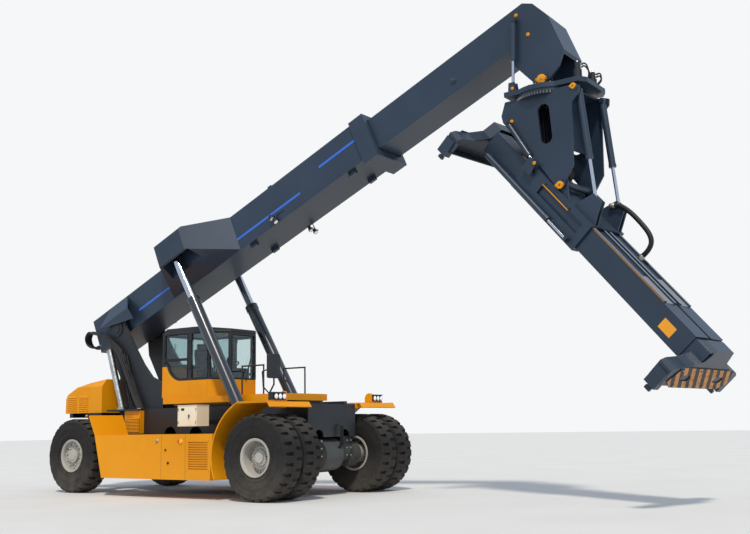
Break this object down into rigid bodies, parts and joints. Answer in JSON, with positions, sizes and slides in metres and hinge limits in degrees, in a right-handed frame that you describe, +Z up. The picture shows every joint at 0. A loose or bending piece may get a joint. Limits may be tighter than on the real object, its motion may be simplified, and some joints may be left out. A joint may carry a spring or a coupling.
{
  "type": "reach stacker",
  "caption": "Container-handling reach stacker with a sliding cab, telescopic boom, slewing and tilting hanger, and a telescopic spreader with twistlocks.",
  "frame": {"origin": "on the ground, under the middle of the drive axle", "axes": "+X forward towards the spreader, +Y to the machine's left, +Z up"},
  "size_m": [15.6492, 4.18, 9.0807],
  "materials": {
    "black_paint": "satin",
    "black_plastic": "matte",
    "bright_steel": "polished",
    "cast_block": "matte",
    "cream_paint": "satin",
    "dark_paint": "satin",
    "exhaust_steel": "brushed",
    "hose_rubber": "matte",
    "lamp_glass": "clear",
    "rim_paint": "satin",
    "seat_fabric": "woven",
    "tyre_rubber": "matte",
    "window_glass": "clear",
    "yellow_paint": "gloss"
  },
  "bodies": {
    "chassis": {"main_frame": "black_paint", "tow_jaw": "black_paint", "pedestal": "black_paint", "side_tanks": "yellow_paint", "fenders": "yellow_paint", "side_panels": "yellow_paint", "engine_hood": "yellow_paint", "engine": "cast_block", "counterweight": "cast_block", "exhaust": "exhaust_steel", "hose_pack": "hose_rubber", "electrical_box": "cream_paint", "drive_axle": "black_paint", "steer_axle": "black_paint", "headlamps": "lamp_glass", "mirrors": "black_plastic"},
    "cab": {"cab_platform": "yellow_paint", "cab_base": "yellow_paint", "cab_frame": "black_paint", "cab_glass": "window_glass", "cab_interior": "black_plastic", "porch_rails": "black_paint", "driver_seat": "seat_fabric"},
    "door_left": {"door_left": "black_paint"},
    "drive_wheels_right": {"drive_tyres_right": "tyre_rubber", "drive_rims_right": "rim_paint"},
    "drive_wheels_left": {"drive_tyres_left": "tyre_rubber", "drive_rims_left": "rim_paint"},
    "knuckle_right": {"knuckle_right": "black_paint"},
    "knuckle_left": {"knuckle_left": "black_paint"},
    "steer_wheel_right": {"steer_tyre_right": "tyre_rubber", "steer_rim_right": "rim_paint"},
    "steer_wheel_left": {"steer_tyre_left": "tyre_rubber", "steer_rim_left": "rim_paint"},
    "outer_boom": {"outer_boom": "dark_paint"},
    "inner_boom": {"inner_boom": "dark_paint", "boom_head": "dark_paint"},
    "lift_barrels": {"lift_barrels": "black_paint"},
    "lift_rods": {"lift_rods": "bright_steel"},
    "damper_barrels": {"damper_barrels": "black_paint"},
    "damper_rods": {"damper_rods": "bright_steel"},
    "rotator": {"rotator": "dark_paint", "slew_motors": "black_paint"},
    "hanger": {"hanger": "dark_paint"},
    "tilt_barrels": {"tilt_barrels": "black_paint"},
    "tilt_rods": {"tilt_rods": "bright_steel"},
    "trim_barrels": {"trim_barrels": "black_paint"},
    "trim_rods": {"trim_rods": "bright_steel"},
    "carriage": {"carriage": "dark_paint"},
    "spreader": {"spreader_frame": "dark_paint", "upper_arm": "dark_paint"},
    "lower_arm": {"lower_arm": "dark_paint"}
  },
  "joints": [
    {"name": "luff", "type": "hinge", "parent": "chassis", "child": "outer_boom", "pos_m": [-5.75, 0, 3.76], "axis": [0, -1, 0], "range_deg": [-20.4, 31.6]},
    {"name": "telescope", "type": "slide", "parent": "outer_boom", "child": "inner_boom", "axis": [-0.9178, 0, -0.3971], "range_m": [-3.9, 3]},
    {"name": "head", "type": "hinge", "parent": "inner_boom", "child": "rotator", "pos_m": [5.42009, 0, 7.55859], "axis": [0, -1, 0], "range_deg": [-31.7, 20.5]},
    {"name": "lift_barrel_swing", "type": "hinge", "parent": "chassis", "child": "lift_barrels", "pos_m": [-0.99, 0, 1], "axis": [0, -1, 0], "range_deg": [-1.95, 2.99]},
    {"name": "lift_rod_slide", "type": "slide", "parent": "lift_barrels", "child": "lift_rods", "axis": [-0.507, 0, 0.862], "range_m": [-0.9271, 1.4351]},
    {"name": "damper_barrel_swing", "type": "hinge", "parent": "inner_boom", "child": "damper_barrels", "pos_m": [4.96283, 0, 8.76633], "axis": [0, -1, 0], "range_deg": [-0.84, 0.56]},
    {"name": "damper_rod_slide", "type": "slide", "parent": "damper_barrels", "child": "damper_rods", "axis": [-0.0416, 0, -0.9991], "range_m": [-0.2769, 0.1795]},
    {"name": "slew", "type": "hinge", "parent": "rotator", "child": "hanger", "pos_m": [5.42009, 0, 7.235], "axis": [0, 0, -1], "range_deg": [-201.4, 98.6]},
    {"name": "tilt", "type": "hinge", "parent": "hanger", "child": "carriage", "pos_m": [5.85734, -0.04905, 5.525], "axis": [0.1115, 0.9938, 0], "range_deg": [-48.7, 1.3]},
    {"name": "tilt_barrel_swing", "type": "hinge", "parent": "hanger", "child": "tilt_barrels", "pos_m": [6.24491, -0.09252, 7.13], "axis": [-0.1115, -0.9938, 0], "range_deg": [-0.27, 8.09]},
    {"name": "tilt_rod_slide", "type": "slide", "parent": "tilt_barrels", "child": "tilt_rods", "axis": [0.1075, -0.0121, -0.9941], "range_m": [-0.565, 0.017]},
    {"name": "trim_barrel_swing", "type": "hinge", "parent": "hanger", "child": "trim_barrels", "pos_m": [4.86357, 0.06242, 6.8], "axis": [-0.1115, -0.9938, 0], "range_deg": [-19.53, 0.57]},
    {"name": "trim_rod_slide", "type": "slide", "parent": "trim_barrels", "child": "trim_rods", "axis": [0.5251, -0.0589, -0.849], "range_m": [-0.0119, 0.3741]},
    {"name": "side_shift", "type": "slide", "parent": "carriage", "child": "spreader", "axis": [0.6559, -0.0736, -0.7513], "range_m": [-0.7, 0.1]},
    {"name": "lower_arm_slide", "type": "slide", "parent": "spreader", "child": "lower_arm", "axis": [0.6559, -0.0736, -0.7513], "range_m": [0, 3.066]},
    {"name": "drive_wheels_right_spin", "type": "hinge", "parent": "chassis", "child": "drive_wheels_right", "pos_m": [0, -1.55, 0.825], "axis": [0, 1, 0], "continuous": true},
    {"name": "drive_wheels_left_spin", "type": "hinge", "parent": "chassis", "child": "drive_wheels_left", "pos_m": [0, 1.55, 0.825], "axis": [0, 1, 0], "continuous": true},
    {"name": "steering_right", "type": "hinge", "parent": "chassis", "child": "knuckle_right", "pos_m": [-6.03, -0.93, 0.825], "axis": [0, 0, 1], "range_deg": [-40, 40]},
    {"name": "steering_left", "type": "hinge", "parent": "chassis", "child": "knuckle_left", "pos_m": [-6.03, 0.93, 0.825], "axis": [0, 0, 1], "range_deg": [-40, 40]},
    {"name": "steer_wheel_right_spin", "type": "hinge", "parent": "knuckle_right", "child": "steer_wheel_right", "pos_m": [-6.03, -1.39, 0.825], "axis": [0, 1, 0], "continuous": true},
    {"name": "steer_wheel_left_spin", "type": "hinge", "parent": "knuckle_left", "child": "steer_wheel_left", "pos_m": [-6.03, 1.39, 0.825], "axis": [0, 1, 0], "continuous": true},
    {"name": "cab_slide", "type": "slide", "parent": "chassis", "child": "cab", "axis": [-1, 0, 0], "range_m": [-1.25, 0]},
    {"name": "door_left_swing", "type": "hinge", "parent": "cab", "child": "door_left", "pos_m": [-3.198, 0.74, 2.8], "axis": [0, 0, 1], "range_deg": [0, 80]}
  ],
  "couplings": [
    {"joint": "head", "follows": "luff", "ratio": -1},
    {"joint": "lift_barrel_swing", "follows": "luff", "ratio": 0.093},
    {"joint": "lift_rod_slide", "follows": "luff", "m_per_rad": 2.5984},
    {"joint": "damper_barrel_swing", "follows": "luff", "ratio": -0.025},
    {"joint": "damper_rod_slide", "follows": "luff", "m_per_rad": -0.49847},
    {"joint": "tilt_barrel_swing", "follows": "tilt", "ratio": -0.165},
    {"joint": "tilt_rod_slide", "follows": "tilt", "m_per_rad": 0.66234},
    {"joint": "trim_barrel_swing", "follows": "tilt", "ratio": 0.4},
    {"joint": "trim_rod_slide", "follows": "tilt", "m_per_rad": -0.43774},
    {"joint": "steering_left", "follows": "steering_right", "ratio": 1}
  ]
}
